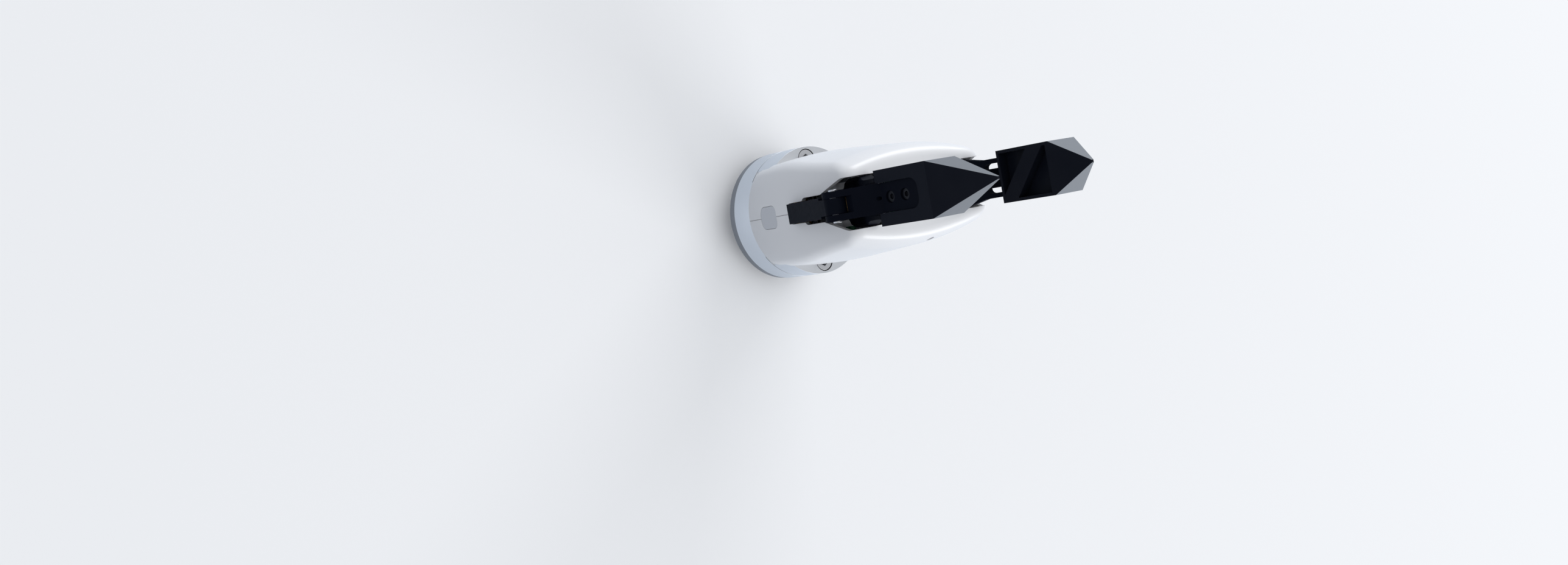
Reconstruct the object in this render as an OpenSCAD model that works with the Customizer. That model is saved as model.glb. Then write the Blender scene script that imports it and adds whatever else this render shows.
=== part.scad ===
// Electric two finger gripper with parallel jaws, drawn in millimetres.
// Origin at the centre of the flange's mounting face, +Z along the tool axis.
// Y is the gripping direction and X runs along the hinge axes.

/* [Mounting flange] */

// Outer radius of the mounting flange and of the shell where it meets it
flange_r = 31.5; // [29:0.5:34]
// Height of the dark base plate under the flange
plate_h = 4; // [3:0.5:6]
// Height of the flange's top face above the mounting face
flange_top = 15.6; // [13:0.2:18]
// Height of the two lugs that carry the mounting screws
lug_top = 28.4; // [24:0.2:32]
// Inner limit of the lugs, measured from the centre plane
lug_x = 18.5; // [17:0.5:19]
// Outer limit of the shell's skirt between the lugs
skirt_x = 23.4; // [21:0.1:24.5]
// Pitch circle diameter of the mounting screws
bolt_pcd = 50; // [48:0.5:51]
// Thread radius of the mounting screws
bolt_r = 3; // [2.5:0.5:3.5]
// Head radius of the mounting screws
bolt_head_r = 5; // [4.5:0.25:5.25]
// Head height of the mounting screws
bolt_head_h = 6; // [4:0.5:8]
// Length of the mounting screws under the head
bolt_len = 30; // [26:1:36]
// Radius of the centring spigot
spigot_r = 15.75; // [13:0.25:17]
// Height of the centring spigot below the mounting face
spigot_h = 4.5; // [2:0.5:6]
// Radius of the locating pin
dowel_r = 3; // [2:0.5:4]
// How far the locating pin stands below the mounting face
dowel_out = 5; // [3:0.5:8]

/* [Shell] */

// Height of the middle of the long curve of the shell's sides
shell_wide_z = 110; // [104:1:118]
// Radius of the long curve of the shell's sides
shell_curve_r = 330; // [310:5:380]
// Height of the palm, the flat end face of the shell
palm_z = 103.4; // [103:0.1:105]
// Radius of the edge between the sides and the palm
palm_edge_r = 6.5; // [5:0.5:8]
// Half thickness of the shell at the palm edge
cheek_x = 23.3; // [23:0.1:24.5]
// Slope of the flattened cheeks, in degrees
cheek_tilt = 4.4; // [4:0.1:5]
// Half thickness of the shell at the height of the lugs' top
cheek_low_x = 26; // [25.6:0.1:27]
// Slope of the lower cheeks, which draw in towards the lugs, in degrees
cheek_low_tilt = 2.9; // [2.4:0.1:3.4]
// Radius of the flattened cheeks
cheek_r = 165; // [140:5:180]
// Width of the slope between cheek and palm
palm_slope_w = 4; // [3:0.1:5]
// Height of the slope between cheek and palm
palm_slope_h = 5.6; // [5:0.2:7]
// Wall thickness of the shell
wall = 2.2; // [1.6:0.1:2.6]
// Half width of the slot's narrow part
slot_x = 6.2; // [5.8:0.1:7]
// Half width of the slot's wide part, where the inner knuckles pass
slot_wide_x = 11.7; // [11.6:0.1:13]
// Height at which the narrow part of the slot begins
slot_z = 69.3; // [67:0.1:72]
// Height of the start of the slot's flare
flare_z0 = 84.3; // [84:0.1:85.5]
// Height of the end of the slot's flare
flare_z1 = 99; // [96:0.1:99.4]
// Distance of the slots' inner ends from the centre of the palm
bridge_y = 10.5; // [8:0.5:11.5]
// Width of the side plugs
plug_w = 10.6; // [9:0.2:14]
// Length of the side plugs
plug_l = 15.6; // [12:0.2:20]
// Height of the middle of the side plugs
plug_z = 37.1; // [34:0.1:38.5]

/* [Linkage] */

// Depth of the outer knuckle pivots below the shell's side
hinge_cover = 6.342; // [5.942:0.1:6.842]
// Height of the outer knuckle pivots
base_z = 59.1; // [58:0.1:61]
// Offset of the inner pivots from the outer ones, inward and upward alike
pair = 15; // [14:0.25:15.5]
// Length of all four links from pivot to pivot
link_len = 55; // [54:0.5:57]
// Angle of the links at rest, measured from the gripping direction
rest_deg = 65.5; // [62:0.5:70]
// Angle that the links swing outward from rest to the fully open stop
open_swing = 15.65; // [12:0.05:16]
// Angle that the links swing inward from rest until the fingertips meet
close_swing = 31.1; // [24:0.1:31.1]
// Width of the outer knuckle
knuckle_w = 9.2; // [8:0.1:9.6]
// Width of the outer knuckle's tongue, between the finger's fork arms
tongue_w = 7; // [6:0.1:7.4]
// Radius of the outer knuckle's end and of the finger's fork at their pin
knuckle_end_r = 5; // [4.5:0.1:5.4]
// Depth of the outer knuckle from its pivot line to its outer face at the tail
tail_v = 8.3; // [7.5:0.1:9]
// Thickness of the outer knuckle's tail, which lies over the shell
tail_t = 3.2; // [2.8:0.1:3.3]
// Start of the outer knuckle's outer face, measured from the pivot
tail_u = 6.5; // [5:0.1:8]
// Radius of the outer knuckle's shaft
outer_shaft_r = 2.5; // [2:0.1:3]
// Radius of the inner knuckle's stub shafts
stub_r = 2; // [1.5:0.1:2.4]
// Radius of the pin between outer knuckle and finger
finger_pin_r = 1.9; // [1.5:0.1:2.4]
// Radius of the pin between inner knuckle and finger
inner_pin_r = 1.5; // [1.2:0.1:1.8]
// Radial clearance of every pin that turns in its bore
running_fit = 0.05; // [0.03:0.01:0.08]
// Clearance between parts that move past each other
side_gap = 0.4; // [0.3:0.05:0.5]
// Half width of the inner knuckle's wide end
inner_wide_x = 11.3; // [11:0.1:11.3]
// Half width of the inner knuckle's fork
inner_x = 9.1; // [8.9:0.1:9.4]
// Thickness of the inner knuckle's fork arms
inner_arm = 2.2; // [2:0.1:2.3]
// Thickness of the inner knuckle on the inner side of its pivot line
inner_half = 4; // [3.4:0.1:4.2]
// Thickness of the inner knuckle on the outer side of its pivot line
inner_out = 2.9; // [2.5:0.1:3.1]
// Bevel along the outer edges of the inner knuckle's wide end
inner_bevel = 1.8; // [1.6:0.1:2.2]
// Radius of the inner knuckle's fork ends
inner_end_r = 3.5; // [3:0.1:3.6]

/* [Fingers] */

// Width of the finger
finger_w = 13; // [12.6:0.1:13.2]
// Radius of the finger's boss at the inner pin
finger_boss_r = 4.5; // [4:0.1:5]
// Thickness of the finger's tenon, which sits in the fingertip
tenon_t = 8.7; // [7:0.1:9]
// Depth of the tenon's outer face below the fingertip's outer face
tenon_step = 0.8; // [0.4:0.1:1.2]
// Corner radius of the tenon's end
tenon_corner = 4.2; // [3:0.1:5]
// Distance of the tenon's end from the fingertip's rear face
tenon_len = 24.9; // [23:0.1:26]
// Width of the fingertip
tip_w = 24.2; // [23:0.1:26]
// Thickness of the fingertip in the gripping direction
tip_t = 18.3; // [17.9:0.1:20]
// Distance from the finger's outer pin to the gripping face
grip_offset = 28.46; // [28:0.02:28.9]
// Distance from the finger's outer pin to the fingertip's rear face
tip_rise = 16.2; // [15.8:0.1:17]
// Length of the fingertip's straight block
tip_l = 31.4; // [30:0.1:34]
// Length of the fingertip's pointed end
point_l = 23.2; // [20:0.1:26]
// Width of the blunt end of the point
point_blunt = 1.2; // [0.8:0.1:2]
// Depth of the pockets in the gripping face
pocket_d = 5.5; // [3:0.5:6]
// Width of the diagonal rib between the pockets
rib_w = 7.4; // [5:0.1:9]
// Wall between the pockets and the fingertip's sides
pocket_wall = 1.4; // [1:0.1:2]
// Distance of the first fingertip screw from the fingertip's rear face
tip_screw_z = 7.2; // [6.5:0.1:8.5]
// Distance between the two fingertip screws
tip_screw_pitch = 9.1; // [8.6:0.1:10]
// Head radius of the fingertip screws
tip_screw_head_r = 2.5; // [2.3:0.1:3]
// Thread radius of the fingertip screws
tip_screw_r = 1.5; // [1.25:0.05:1.75]

/* [Drive] */

// Radius of the motor and its gearhead
motor_r = 12; // [10:0.5:12.5]
// Height of the joint between motor and gearhead
motor_top = 24; // [20:0.5:28]
// Height of the gearhead's top face
gearhead_top = 40; // [36:0.5:41]
// Outer radius of the worm
worm_r = 6.8; // [6:0.1:7]
// Pitch of the worm's thread
worm_pitch = 3.93; // [3:0.01:5]
// Length of the worm's thread
worm_len = 26; // [22:0.5:28]
// Thickness of the gear sectors
sector_w = 6; // [4:0.5:6]
// Inner distance of the two side plates of the frame from the centre plane
frame_x = 7.2; // [7.1:0.1:7.6]
// Thickness of the frame's side plates
frame_t = 3; // [2:0.1:3.4]

/* [Hidden] */

$fn = 72;
eps = 0.01;
// How far a straight side runs inside the round end that it joins
join = 0.03;

shell_seat = flange_top;
// Middle of the circle that the shell's sides follow, as [radius, height]
curve_at = [flange_r - sqrt(pow(shell_curve_r, 2) - pow(shell_wide_z - shell_seat, 2)), shell_wide_z];
// Radius of the shell's outside at the height z
function side_r(z) = curve_at[0] + sqrt(pow(shell_curve_r, 2) - pow(shell_wide_z - z, 2));

// Derived places of the four pivots on the right side, as [y, z]
base_y = side_r(base_z) - hinge_cover;
outer_base = [base_y, base_z];
inner_base = [base_y - pair, base_z + pair];
link = link_len * [cos(rest_deg), sin(rest_deg)];
outer_tip = outer_base + link;
inner_tip = inner_base + link;
grip_y = outer_tip[0] - grip_offset;
tip_outer_y = grip_y + tip_t;
tip_z = outer_tip[1] + tip_rise;
shoulder_z = tip_z + tip_l;
apex_z = shoulder_z + point_l;
tenon_outer_y = tip_outer_y - tenon_step;
tenon_inner_y = tenon_outer_y - tenon_t;
tenon_x = finger_w / 2 - 0.1;
tenon_gap = 0.1;
lug_y = sqrt(flange_r * flange_r - skirt_x * skirt_x);
part_gap = 0.2;
frame_out = frame_x + frame_t;
sector_r = base_y - worm_r - 0.2;
wide = 200;

// Draws a flat shape in the Y-Z plane and gives it a width along X, centred
module yz(w) { rotate([90, 0, 90]) linear_extrude(w, center = true) children(); }
// Draws a flat shape in the X-Z plane and gives it a depth from y0 to y1
module xz(y0, y1) { translate([0, y1, 0]) rotate([90, 0, 0]) linear_extrude(y1 - y0) children(); }
// A round bar along X, centred on the pivot p
module bar(p, r, w) { translate([0, p[0], p[1]]) rotate([0, 90, 0]) cylinder(r = r, h = w, center = true); }
// A pair of round bars along X between the distances x0 and x1 on both sides
module bar_pair(p, r, x0, x1) {
    for (s = [-1, 1]) translate([s * (x0 + x1) / 2, 0, 0]) bar(p, r, x1 - x0);
}
// Puts a link drawn along +Y onto its base pivot, turned to its rest angle; -Z faces outward
module on_link(p) { translate([0, p[0], p[1]]) rotate([rest_deg, 0, 0]) children(); }
// Mirror image of a right part, on the left side of the hand
module left() { mirror([0, 1, 0]) children(); }

// ---------------------------------------------------------------- flange
module screw_places() { for (s = [-1, 1]) translate([s * bolt_pcd / 2, 0, 0]) children(); }
dowel_at = bolt_pcd / 2 * [cos(45), sin(45)];
lug_bore_r = bolt_head_r + 0.4;
bore_r = motor_r + 0.3;
motor_floor = 1.2;

module base_plate() {
    color("dimgray") difference() {
        union() {
            cylinder(r = flange_r - 0.3, h = plate_h, $fn = 180);
            translate([0, 0, -spigot_h]) cylinder(r = spigot_r, h = spigot_h + eps, $fn = 120);
        }
        translate([0, 0, motor_floor]) cylinder(r = bore_r, h = plate_h);
        translate([0, 0, -spigot_h - 1]) cylinder(r = spigot_r - 4, h = spigot_h);
        screw_places() translate([0, 0, -1]) cylinder(r = bolt_r + 0.3, h = plate_h + 2);
        translate([dowel_at[0], dowel_at[1], -1]) cylinder(r = dowel_shank_r, h = plate_h + 2);
    }
}

module mounting_flange() {
    color("silver") difference() {
        union() {
            translate([0, 0, plate_h]) cylinder(r = flange_r, h = flange_top - plate_h, $fn = 180);
            intersection() {
                translate([0, 0, flange_top - 1]) cylinder(r = flange_r, h = lug_top - flange_top + 1, $fn = 180);
                for (s = [-1, 1]) translate([s > 0 ? lug_x : -wide / 2, -lug_y, 0])
                    cube([wide / 2 - lug_x, 2 * lug_y, lug_top + 1]);
            }
        }
        translate([0, 0, plate_h - 1]) cylinder(r = bore_r, h = lug_top);
        screw_places() {
            translate([0, 0, plate_h - 1]) cylinder(r = bolt_r + 0.3, h = lug_top);
            translate([0, 0, bolt_seat_z]) cylinder(r = lug_bore_r, h = bolt_head_h + 1);
        }
        socket_bore();
        translate([dowel_at[0], dowel_at[1], plate_h - 1]) cylinder(r = dowel_shank_r, h = 4);
        // shallow groove that sets the lugs off from the ring
        translate([0, 0, flange_top - 0.6]) difference() {
            intersection() {
                cylinder(r = flange_r + 1, h = 0.6);
                for (s = [-1, 1]) translate([s > 0 ? lug_x : -wide / 2, -wide / 2, 0])
                    cube([wide / 2 - lug_x, wide, 1]);
            }
            translate([0, 0, -1]) cylinder(r = flange_r - 0.4, h = 3, $fn = 180);
        }
    }
}

dowel_shank_r = dowel_r + 0.5;
module locating_pin() {
    color("gainsboro") translate([dowel_at[0], dowel_at[1], 0]) {
        translate([0, 0, -dowel_out + 0.6]) cylinder(r = dowel_r, h = dowel_out);
        translate([0, 0, -dowel_out]) cylinder(r1 = dowel_r - 0.6, r2 = dowel_r, h = 0.6);
        cylinder(r = dowel_shank_r, h = plate_h + 2.5);
    }
}

// The screws are captive: inside the hand their shank is thinner than the thread
bolt_seat_z = lug_top - bolt_head_h - 0.2;
bolt_waist_r = bolt_r - 0.5;
module mounting_screw(s) {
    color("lightgray") translate([s * bolt_pcd / 2, 0, 0]) {
        translate([0, 0, bolt_seat_z]) difference() {
            cylinder(r = bolt_head_r, h = bolt_head_h);
            translate([0, 0, bolt_head_h - 3.2]) cylinder(r = 2.9, h = 4, $fn = 6);
        }
        translate([0, 0, -eps]) cylinder(r = bolt_waist_r, h = bolt_seat_z + 2 * eps);
        translate([0, 0, bolt_seat_z - bolt_len]) cylinder(r = bolt_r, h = bolt_len - bolt_seat_z);
    }
}

// round cable socket let into the side of the flange
socket_z = (plate_h + flange_top) / 2;
socket_r = 4.2;
socket_depth = 9;
module socket_bore() {
    translate([0, flange_r - socket_depth, socket_z]) rotate([-90, 0, 0])
        cylinder(r = socket_r, h = socket_depth + 2);
}
module connector_socket() {
    color("darkslategray") translate([0, flange_r - socket_depth, socket_z]) rotate([-90, 0, 0])
    difference() {
        cylinder(r = socket_r, h = socket_depth - 0.9);
        translate([0, 0, socket_depth - 6]) difference() {
            cylinder(r = socket_r - 0.8, h = 6);
            translate([0, 0, -1]) cylinder(r = socket_r - 1.8, h = 5);
        }
        for (a = [0:45:315]) rotate([0, 0, a]) translate([1.6, 0, socket_depth - 4])
            cylinder(r = 0.35, h = 6, $fn = 16);
    }
}

// ---------------------------------------------------------------- shell
shell_reach = side_r(palm_z);
// Middle of the edge round between sides and palm, which touches both
edge_z = palm_z - palm_edge_r;
edge_at = [curve_at[0] + sqrt(pow(shell_curve_r - palm_edge_r, 2) - pow(edge_z - shell_wide_z, 2)), edge_z];
edge_dir = (edge_at - curve_at) / (shell_curve_r - palm_edge_r);
// Short straight steps that make up the long side curve and the edge round
side_steps = 12;
edge_steps = 8;
// Solid of the shell's outside, drawn inwards by t; z0 is where it starts
module shell_body(t, z0) {
    edge = palm_edge_r - t;
    meet_z = edge_at[1] + edge * edge_dir[1];
    from = atan2(edge_dir[1], edge_dir[0]);
    side = [for (i = [0:side_steps]) let (z = z0 + (meet_z - z0) * i / side_steps)
            [curve_at[0] + sqrt(pow(shell_curve_r - t, 2) - pow(shell_wide_z - z, 2)), z]];
    corner = [for (i = [1:edge_steps]) let (a = from + (90 - from) * i / edge_steps)
              edge_at + edge * [cos(a), sin(a)]];
    intersection() {
        rotate_extrude($fn = 180) polygon(concat([[0, z0]], side, corner, [[0, palm_z - t]]));
        for_both_cheeks() cheek(t);
        for_both_cheeks() cheek_low(t);
        for_both_cheeks() palm_slope(t);
    }
}
// Intersection of a solid with its mirror image in the X direction
module for_both_cheeks() {
    intersection() {
        children();
        mirror([1, 0, 0]) children();
    }
}
module cheek(t) {
    translate([cheek_x - t, 0, palm_z - palm_slope_h]) rotate([0, -cheek_tilt, 0])
        translate([t - cheek_r, 0, -wide * 0.75]) cylinder(r = cheek_r - t, h = wide, $fn = 360);
}
module cheek_low(t) {
    translate([cheek_low_x - t, 0, lug_top]) rotate([0, cheek_low_tilt, 0])
        translate([t - cheek_r, 0, -wide / 2]) cylinder(r = cheek_r - t, h = wide, $fn = 360);
}
module palm_slope(t) {
    k = palm_slope_w / palm_slope_h;
    r = cheek_r - t - palm_slope_w;
    translate([cheek_x - cheek_r, 0, 0])
        cylinder(r1 = r + k * (palm_z - 0.4 * t), r2 = r - k * (2 - 0.6 * t), h = palm_z - t + 2, $fn = 360);
}

// Outline of the slot as seen along Y
notch_x = knuckle_w / 2 + 0.3;
notch_z = base_z - 0.9;
module slot_outline() {
    corner = 2.4;
    translate([-notch_x, notch_z]) square([2 * notch_x, slot_z - notch_z + 5]);
    translate([-slot_x, slot_z + corner]) square([2 * slot_x, flare_z0 - slot_z]);
    translate([-slot_x + corner, slot_z]) square([2 * (slot_x - corner), corner + 1]);
    for (s = [-1, 1]) translate([s * (slot_x - corner), slot_z + corner]) circle(r = corner);
    polygon([[-slot_x, flare_z0 - 1], [slot_x, flare_z0 - 1], [slot_x, flare_z0], [slot_wide_x, flare_z1],
             [slot_wide_x, palm_z + 10], [-slot_wide_x, palm_z + 10], [-slot_wide_x, flare_z1],
             [-slot_x, flare_z0]]);
}
module slots() {
    for (s = [0, 1]) mirror([0, s, 0]) xz(bridge_y, shell_reach + 10) slot_outline();
}

// Space that the flange's lugs and the tool for their screws take from the shell
module lug_space() {
    for (s = [-1, 1]) mirror([s < 0 ? 1 : 0, 0, 0]) {
        translate([lug_x - part_gap, -lug_y - part_gap, 0])
            cube([wide, 2 * (lug_y + part_gap), lug_top + part_gap]);
        translate([skirt_x, -wide / 2, 0]) cube([wide, wide, lug_top + part_gap]);
        translate([bolt_pcd / 2, 0, 0]) cylinder(r = lug_bore_r, h = lug_top + 1.6);
        translate([bolt_pcd / 2, 0, lug_top - 2]) rotate([0, 25, 0]) cylinder(r = lug_bore_r, h = 60);
    }
}

// Rounded plate shape of the side plugs, as seen along Y
module plug_shape(grow) {
    r = 3.6;
    w = plug_w / 2 - r;
    l = plug_l / 2 - r;
    translate([0, plug_z]) union() {
        square([2 * (w + r + grow), 2 * l], center = true);
        square([2 * w, 2 * (l + r + grow)], center = true);
        for (a = [-1, 1], b = [-1, 1]) translate([a * w, b * l]) circle(r = r + grow);
    }
}
module plug_pair(grow, depth) {
    for (s = [0, 1]) mirror([0, s, 0]) plug_cut(grow, depth);
}
module plug_cut(grow, depth) {
    difference() {
        xz(flange_r - 8, shell_reach) plug_shape(grow);
        shell_body(depth, 0);
    }
}

// Screws that hold the two halves together and a plain post that only spaces them, as [y, z]
shell_screw_at = [[24, 34], [8, palm_z - 7.6]];
shell_posts = concat(shell_screw_at, [[-24, 34]]);
post_r = 2.4;
shell_screw_r = 1;
shell_head_r = 1.7;
// How far the screws reach into the posts of the other half
shell_screw_bite = 7;
// Distance of the screw heads' seats from the centre plane
screw_seat_x = cheek_x - 4.5;
module shell_cavity() {
    difference() {
        shell_body(wall, shell_seat - 1);
        for (p = shell_posts) bar(p, post_r, wide);
    }
}
// Half of the shell on the -X side
module half_blank() {
    difference() {
        intersection() {
            shell_body(0, shell_seat);
            translate([-wide / 2, -wide / 2, 0]) cube([wide / 2, wide, wide]);
        }
        shell_cavity();
        slots();
        lug_space();
        plug_pair(0.1, 1.1);
        // room for the outer knuckles' hubs, where the wall is thinner
        for (y = [-base_y, base_y]) bar([y, base_z], hub_r + 0.3, 2 * frame_x + 0.4);
        for (p = shell_screw_at) bar(p, shell_screw_r + running_fit, 2 * (shell_screw_bite + 1));
    }
}
module shell_half(s) {
    color(s > 0 ? "white" : "whitesmoke") difference() {
        mirror([s > 0 ? 1 : 0, 0, 0]) half_blank();
        if (s > 0) for (p = shell_screw_at) {
            translate([wide / 4, 0, 0]) bar(p, shell_screw_r + 0.35, wide / 2);
            translate([screw_seat_x + wide / 4, 0, 0]) bar(p, shell_head_r + 0.2, wide / 2);
        }
    }
}
module side_plug() {
    color("ghostwhite") intersection() {
        plug_cut(0, 1.1);
        shell_body(0, 0);
    }
}
module shell_screws() {
    head = 1.4;
    color("dimgray") for (p = shell_screw_at) {
        translate([(screw_seat_x - shell_screw_bite) / 2, 0, 0])
            bar(p, shell_screw_r, screw_seat_x + shell_screw_bite + 2 * eps);
        translate([screw_seat_x + head / 2, 0, 0]) difference() {
            bar(p, shell_head_r, head);
            translate([0.5, 0, 0]) bar(p, 0.9, head, $fn = 6);
        }
    }
}

// ---------------------------------------------------------------- frame and drive
sector_span = 50;
spindle_r = 3.5;
bearing_r = 8;
bearing_h = 5;
lower_bearing_z = gearhead_top + 1.2;
upper_bearing_z = 81;
worm_z = base_z;

frame_foot = 17.5;
module frame() {
    top_z = upper_bearing_z + bearing_h + 1;
    right_edge = [[frame_foot - 1, shell_seat + 6], [frame_foot - 0.5, 38], [base_y - 1, base_z - 12],
                  [base_y + 2.6, base_z - 5], [base_y + 4, base_z], [base_y + 1, base_z + 5.5],
                  [inner_base[0] + 5.5, inner_base[1] + 1], [inner_base[0] + 2, inner_base[1] + 5.4],
                  [inner_base[0] - 4, inner_base[1] + 4.6], [9, top_z]];
    last = len(right_edge) - 1;
    plate = concat(right_edge, [for (i = [0:last]) [-right_edge[last - i][0], right_edge[last - i][1]]]);
    color("lightsteelblue") intersection() {
        difference() {
            union() {
                for (s = [-1, 1]) translate([s * (frame_x + frame_t / 2), 0, 0]) yz(frame_t) polygon(plate);
                translate([0, 0, shell_seat]) cylinder(r = frame_foot, h = 7);
                for (z = [lower_bearing_z, upper_bearing_z]) translate([-frame_x - 1, -9, z])
                    cube([2 * frame_x + 2, 18, bearing_h + 1]);
            }
            cylinder(r = motor_r + 0.1, h = gearhead_top + 0.1);
            for (z = [lower_bearing_z, upper_bearing_z]) translate([0, 0, z - eps])
                cylinder(r = bearing_r, h = bearing_h + eps);
            translate([0, 0, lower_bearing_z - 2]) cylinder(r = bearing_r - 1.2, h = wide);
            for (s = [-1, 1]) {
                bar([s * outer_base[0], outer_base[1]], outer_shaft_r, wide / 2);
                bar([s * inner_base[0], inner_base[1]], stub_r, wide / 2);
                // lightening windows in the side plates
                translate([0, s * 19.5, 44]) rotate([0, 90, 0]) cylinder(r = 6, h = wide / 2, center = true);
            }
        }
        shell_body(wall + 0.3, 0);
    }
}

module motor() {
    color("dimgray") {
        translate([0, 0, motor_floor + 0.3]) cylinder(r = motor_r, h = motor_top - motor_floor - 0.3);
    }
}
module gearhead() {
    color("silver") {
        translate([0, 0, motor_top]) cylinder(r = motor_r, h = gearhead_top - motor_top);
    }
}
module worm() {
    turns = floor(worm_len / worm_pitch);
    depth = 1.6;
    land = worm_pitch * 0.4;
    z0 = worm_z - turns * worm_pitch / 2;
    color("goldenrod") {
        translate([0, 0, gearhead_top + 0.3])
            cylinder(r = spindle_r, h = upper_bearing_z + bearing_h + 2.4 - gearhead_top);
        rotate_extrude() union() {
            translate([0, z0 - 1]) square([worm_r - depth, turns * worm_pitch + 2]);
            for (i = [0:turns - 1]) translate([0, z0 + (i + 0.5) * worm_pitch])
                polygon([[worm_r - depth - 0.5, -land], [worm_r, -land / 2], [worm_r, land / 2],
                         [worm_r - depth - 0.5, land]]);
        }
    }
}
module worm_bearing(z) {
    color("lightgray") translate([0, 0, z]) difference() {
        cylinder(r = bearing_r, h = bearing_h);
        translate([0, 0, -1]) cylinder(r = spindle_r + running_fit, h = bearing_h + 2);
        translate([0, 0, bearing_h - 0.5]) difference() {
            cylinder(r = 6.6, h = 1);
            translate([0, 0, -1]) cylinder(r = 5, h = 3);
        }
    }
}
encoder_z = upper_bearing_z + bearing_h + 1;
module encoder() {
    color("seagreen") difference() {
        union() {
            translate([-8, -8, encoder_z]) cube([16, 16, 1.6]);
            translate([0, 0, encoder_z + 1.6 - eps]) cylinder(r = 6, h = 2.8);
        }
        translate([0, 0, encoder_z - 1]) cylinder(r = spindle_r + 0.3, h = 3.4);
    }
}
// Control board: distance from the centre plane, lower edge, width, height and thickness
board_x = 14;
board_z = 34;
board_w = 32;
board_h = 36;
board_t = 1.6;
board_holes = [for (s = [-1, 1], e = [3, board_h - 3]) [s * (board_w / 2 - 3), board_z + e]];
module control_board() {
    color("darkgreen") {
        difference() {
            translate([board_x, -board_w / 2, board_z]) cube([board_t, board_w, board_h]);
            for (p = board_holes) bar(p, 1.1, wide);
        }
        // chips, a plug and three capacitors
        translate([board_x + board_t - eps, 0, board_z]) {
            translate([0, -7, 12]) cube([1.4, 10, 10]);
            translate([0, -10, 26]) cube([3.2, 14, 5]);
            for (z = [8, 14, 20]) translate([0, 9, z]) rotate([0, 90, 0]) cylinder(r = 1.9, h = 3);
        }
        // standoffs down to the frame plate
        for (p = board_holes) difference() {
            translate([(board_x + frame_out) / 2, 0, 0]) bar(p, 2.2, board_x - frame_out);
            bar(p, 1.1, wide);
        }
    }
}

module outer_shaft() { color("gainsboro") bar(outer_base, outer_shaft_r, 2 * frame_out); }
stub_x0 = sector_w / 2 + side_gap;
ear_x1 = frame_x - 0.2;
module inner_stubs() { color("gainsboro") bar_pair(inner_base, stub_r, stub_x0 + 0.1, frame_out); }
module thrust_bushes() {
    color("goldenrod") difference() {
        bar_pair(outer_base, 3.9, knuckle_w / 2 + 0.15, frame_x);
        bar(outer_base, outer_shaft_r, wide);
    }
}

// ---------------------------------------------------------------- moving links
hub_r = 4.3;
step_u = link_len - knuckle_end_r - 0.7;
// Side view of the outer knuckle along its length, outer side towards -b
module outer_knuckle_side() {
    union() {
        circle(r = hub_r);
        translate([link_len, 0]) circle(r = knuckle_end_r);
        polygon([[0, hub_r - join], [2.6, -3.1], [tail_u, -tail_v + tail_t], [tail_u, -tail_v],
                 [link_len, join - knuckle_end_r], [link_len, knuckle_end_r - join]]);
    }
}
module outer_knuckle() {
    color("#22252b") difference() {
        on_link(outer_base) difference() {
            yz(knuckle_w) outer_knuckle_side();
            // the tongue at the far end is narrower
            for (s = [-1, 1]) translate([s * (tongue_w / 2 + 5), step_u + 20, 0]) cube([10, 40, 30], center = true);
            // seat of the gear sector's hub
            yz(sector_w + 0.02) {
                circle(r = hub_r + 1.2);
                translate([-12, 0]) square([16, 12]);
            }
        }
        bar(outer_base, outer_shaft_r + running_fit, wide);
        bar(outer_tip, finger_pin_r + running_fit, wide);
    }
}

// Toothed sector that turns the outer knuckle; it reaches the worm on the centre line
sector_teeth = 45;
module gear_sector() {
    step = 360 / sector_teeth;
    color("peru") difference() {
        yz(sector_w) translate(outer_base) difference() {
            union() {
                circle(r = hub_r);
                intersection() {
                    circle(r = sector_r, $fn = 180);
                    polygon([[1, 1], [wide * cos(a_from), wide * sin(a_from)],
                             [wide * cos(180), wide * sin(180) + 1], [wide * cos(a_to), wide * sin(a_to)], [1, -2]]);
                }
            }
            // gaps between the teeth
            for (i = [floor(a_from / step):ceil(a_to / step)]) rotate((i + 0.5) * step)
                translate([sector_r + 0.1, 0]) polygon([[-2.3, -0.7], [-2.3, 0.7], [1, 1.35], [1, -1.35]]);
            // relief windows
            for (a = [(a_from * 3 + a_to) / 4, (a_from + 3 * a_to) / 4]) rotate(a) translate([17, 0]) circle(r = 3.4);
        }
        bar(outer_base, outer_shaft_r + running_fit, wide);
    }
}
a_from = 180 - close_swing - 8;
a_to = 180 + open_swing + 8;

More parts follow.
